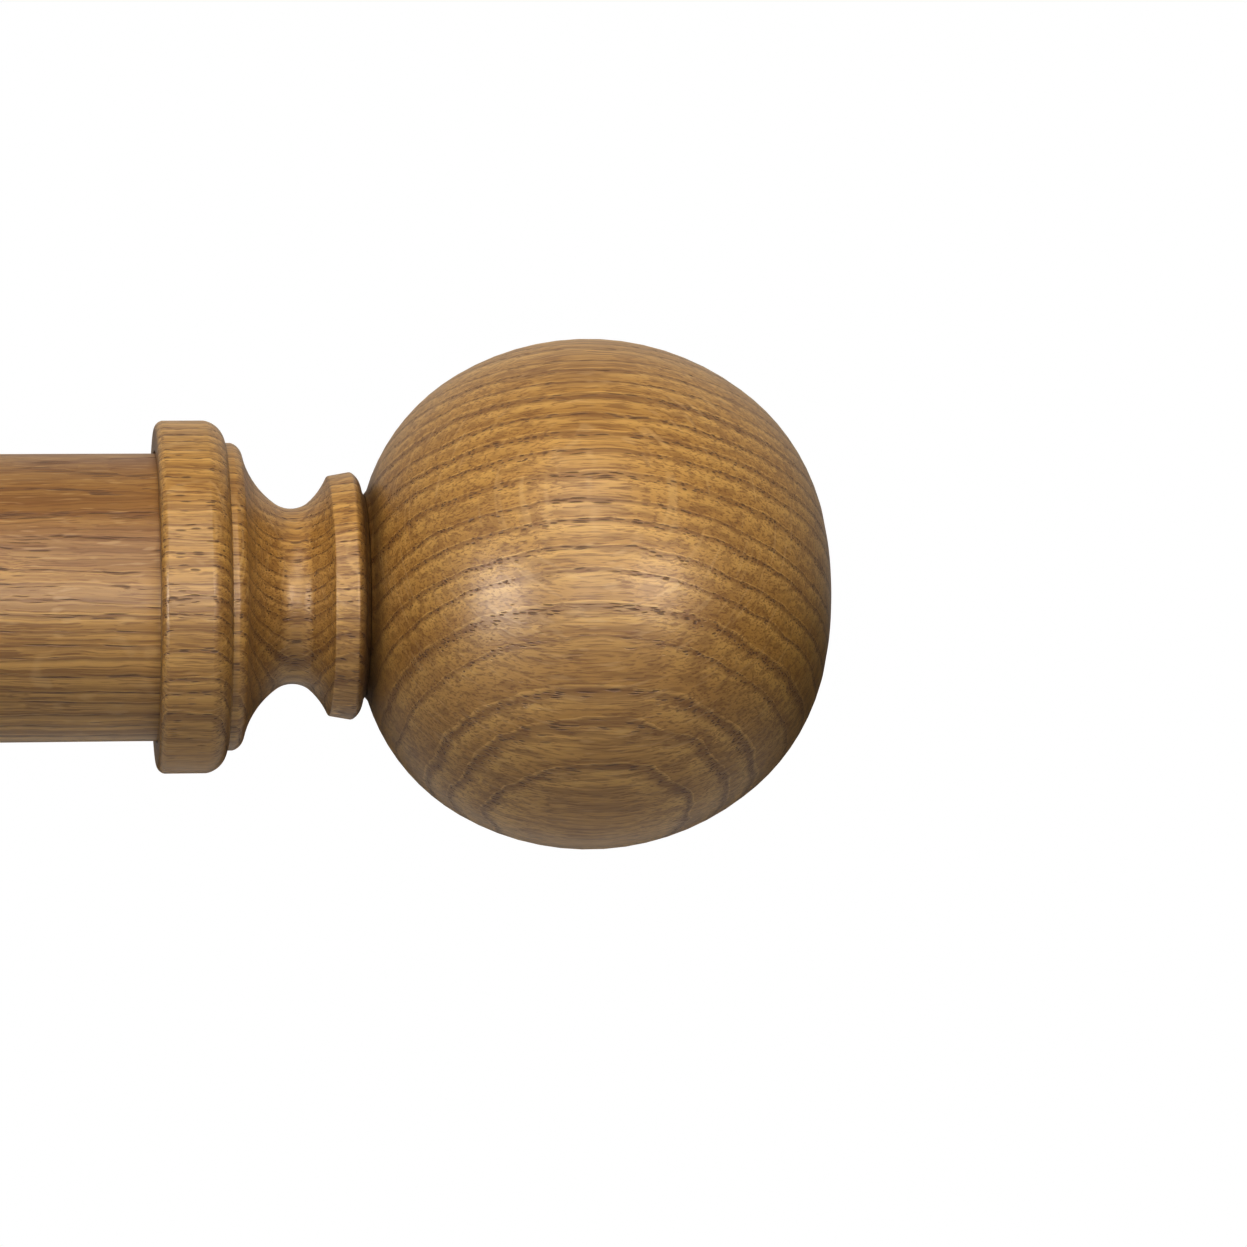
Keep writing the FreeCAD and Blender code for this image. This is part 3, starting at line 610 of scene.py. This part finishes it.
pole = {
    "half": 600.0,  # mm
    "radius": 25.0,
    "chamfer": 0.8,
    "boreRadius": 6.05,  # for the threaded insert
    "boreDepth": 30.0,
    "rebateRadius": 7.55,  # for the insert's lip
    "rebateDepth": 1.5,
    "segments": 128,
    "arris": 0.25,
    "tilt": (150, 0.6, 0.8),
    # a band of heartwood runs along the top
    "grain": {"ringWidth": 2.6, "pith": 95, "wander": 2.2, "poreLength": 11.0, "poreWidth": 0.34,
              "fibreLength": 42, "fibreWidth": 0.3, "streakShow": 0.36, "cloudShow": 0.4,
              "poreScatter": 0.08, "grooveShow": 0, "heart": -22.2, "heartShow": 0.6},
}


def makePole():
    p = pole
    boreEnd = p["half"] - p["boreDepth"]
    rebateEnd = p["half"] - p["rebateDepth"]
    end = [(boreEnd, 0.0), (boreEnd, p["boreRadius"]), (rebateEnd, p["boreRadius"]),
           (rebateEnd, p["rebateRadius"]), (p["half"], p["rebateRadius"]),
           (p["half"], p["radius"] - p["chamfer"]), (p["half"] - p["chamfer"], p["radius"])]
    rows = [(-along, radius) for along, radius in end] + end[::-1]
    wood = oak("lacqueredOakPole", poleCentre, p["tilt"], **p["grain"])
    turned = spinPiece("turned_pole", rows, poleCentre, 0, wood, p["segments"], p["arris"], closed=False)
    standFor(turned, "pole", "pole")


rose = {
    "outline": [
        (0, 34.0),  # recess over the wall plate
        (0, 43.8),
        (1.2, 45.0),  # rim
        (5, 45.0),
        (10, 39.8, 5.6),
        (10.8, 38.8),
        (17.2, 26.6, -14),  # cove
        (20.0, 24.4, 2.6),
        (20.0, 4.5),  # hole for the plate's stud
        (8.0, 4.5),
        (8.0, 34.0),
    ],
    "thickness": 20.0,
    "segments": 144,
    "grain": {"ringWidth": 3.0, "pith": 120},
}

arm = {
    "outline": [
        (0, 6.05),  # bore for the insert
        (0, 20.6),
        (0.9, 21.5),  # base
        (4, 21.5),
        (6.4, 19.0, 2.6),
        (12.3, 13.5, -13),  # cove
        (18.4, 13.2, -5.6),
        (23.6, 16.4, -11),
        (30.6, 17.0),  # ring
        (33.0, 15.2),
        (33.0, 6.05),  # bore for the dowel
        (23.0, 6.05),
        (23.0, 0),
        (13.8, 0),
        (13.8, 6.05),
    ],
    "segments": 96,
    "grain": {"ringWidth": 2.4, "pith": 90, "poreLength": 2.6},
}

cup = {
    "grain": {"ringWidth": 2.8, "pith": 100},
}


def copyNode(name, node, material):
    # the part's own shape, with its triangles joined
    bm = bmesh.new()
    bm.from_mesh(frame["nodes"][node].data)
    bmesh.ops.remove_doubles(bm, verts=bm.verts, dist=turning["merge"] * 2 * mm)
    piece = finishPiece(name, bm, Matrix(), material)
    piece.data.set_sharp_from_angle(angle=math.radians(turning["smoothAngle"]))
    return piece


def makeBrackets():
    outward = -math.pi / 2
    for side, sign in sides.items():
        wall = Vector((boxCentre(f"rose_{side}").x, 0, 0))
        middle = boxCentre(f"cup_{side}")
        roseWood = oak(f"lacqueredOakRose_{side}", wall, (0, 6 * sign, 90 + 4 * sign), **rose["grain"])
        armWood = oak(f"lacqueredOakArm_{side}", wall, (12 * sign, 2, 90), **arm["grain"])
        cupWood = oak(f"lacqueredOakCup_{side}", middle, (70, 4 * sign, 3), **cup["grain"])
        turned = spinPiece(f"turned_rose_{side}", rose["outline"], wall, outward, roseWood,
                           rose["segments"])
        standFor(turned, f"rose_{side}", "brackets")
        start = wall - Vector((0, rose["thickness"], 0)) * mm
        turned = spinPiece(f"turned_arm_{side}", arm["outline"], start, outward, armWood,
                           arm["segments"])
        standFor(turned, f"arm_{side}", "brackets")
        carved = copyNode(f"carved_cup_{side}", f"cup_{side}", cupWood)
        standFor(carved, f"cup_{side}", "brackets")


thread = {
    "pitch": 1.25,  # mm
    "crest": 4.0,
    "root": 3.25,
    "flanks": (0.12, 0.45, 0.67),  # shares of the pitch: foot of a flank, start and end of the crest
    "lead": 0.8,  # mm of taper at each end
    "merge": 0.005,  # mm
    "smoothAngle": 25,  # degrees
    "steps": 28,  # in one turn
}


def makeThreads():
    t = thread
    foot, crestStart, crestEnd = t["flanks"]
    form = [(0.0, t["root"]), (foot, t["root"]), (crestStart, t["crest"]), (crestEnd, t["crest"]),
            (1.0, t["root"])]
    for side in sides:
        node = f"finial_stud_{side}"
        low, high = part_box(node)
        length = (high[0] - low[0]) / mm
        turns = math.ceil(length / t["pitch"]) + 2
        bm = bmesh.new()
        verts = [bm.verts.new(((along - 1) * t["pitch"], radius, 0)) for along, radius in form]
        edges = [bm.edges.new(pair) for pair in zip(verts, verts[1:])]
        bmesh.ops.spin(bm, geom=verts + edges, cent=(0, 0, 0), axis=(1, 0, 0), angle=math.tau * turns,
                       steps=t["steps"] * turns, dvec=(t["pitch"] / t["steps"], 0, 0))
        bmesh.ops.remove_doubles(bm, verts=bm.verts, dist=t["merge"])
        for cut, away in ((0, -1), (length, 1)):
            geom = bm.verts[:] + bm.edges[:] + bm.faces[:]
            bmesh.ops.bisect_plane(bm, geom=geom, plane_co=(cut, 0, 0), plane_no=(away, 0, 0),
                                   clear_outer=True)
            rim = [e for e in bm.edges if e.is_boundary
                   and all(abs(v.co.x - cut) < turning["merge"] for v in e.verts)]
            bmesh.ops.edgeloop_fill(bm, edges=rim)
        for vert in bm.verts:
            most = t["crest"] - t["lead"] + min(vert.co.x, length - vert.co.x)
            across = Vector((vert.co.y, vert.co.z))
            if across.length > most:
                across *= most / across.length
                vert.co.y, vert.co.z = across
        bmesh.ops.recalc_face_normals(bm, faces=bm.faces)
        bmesh.ops.transform(bm, matrix=Matrix.Scale(mm, 4), verts=bm.verts)
        start = Vector((low[0], poleCentre.y, poleCentre.z))
        finish = smallFinish("zincPlatedSteel", start, 0)
        stud = finishPiece(f"threaded_stud_{side}", bm, Matrix.Translation(start), finish)
        stud.data.set_sharp_from_angle(angle=math.radians(t["smoothAngle"]))
        standFor(stud, node, f"finial_{side}")


# each small piece: its finish, its slot in the record, and the line it was turned about (X, Y or Z)
smallPieces = {
    "pole_insert": ("brassTurned", "brass", 0),
    "arm_insert": ("brassTurned", "brass", 1),
    "lock_bush": ("brassTurned", "brass", 2),
    "lock_screw": ("brassTurned", "brass", 2),
    "lock_tip": ("nylonTurned", "nylon", 2),
    "finial_washer": ("fibrePunched", "fibre", 0),
    "wall_plate": ("zincPlatedSteel", "zinc_steel", 1),
    "plate_stud": ("zincPlatedSteel", "zinc_steel", 1),
}

# beech dowels: close-grained and bare, so they look dry and even beside the oak
beech = {"pale": "D9B98C", "mid": "CFAE80", "dark": "B48F62", "pore": "A27C52", "fleck": "C39C6C",
         "poreWidth": 0.2, "poreLength": 0.8, "coat": 0.0, "grooveShow": 0, "roughness": 0.62}


def makeHardware():
    for side in sides:
        for name, (finish, slot, axis) in smallPieces.items():
            node = f"{name}_{side}"
            piece = copyNode(f"{name}_smooth_{side}", node, smallFinish(finish, boxCentre(node), axis))
            standFor(piece, node, frame["nodes"][node]["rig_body"])
        for name, turn in (("ball_dowel", (0, 0, 0)), ("arm_dowel", (0, 0, 90))):
            node = f"{name}_{side}"
            wood = oak(f"bareBeech_{node}", boxCentre(node), turn, **beech)
            piece = copyNode(f"{name}_smooth_{side}", node, wood)
            standFor(piece, node, frame["nodes"][node]["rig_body"])


makeCamera()
makeLamps()
makeWorld()
makeFloor()
print("camera and studio ready")
makePole()
makeFinials()
makeBrackets()
print("turned pieces ready")
makeThreads()
makeHardware()
print("hardware ready")
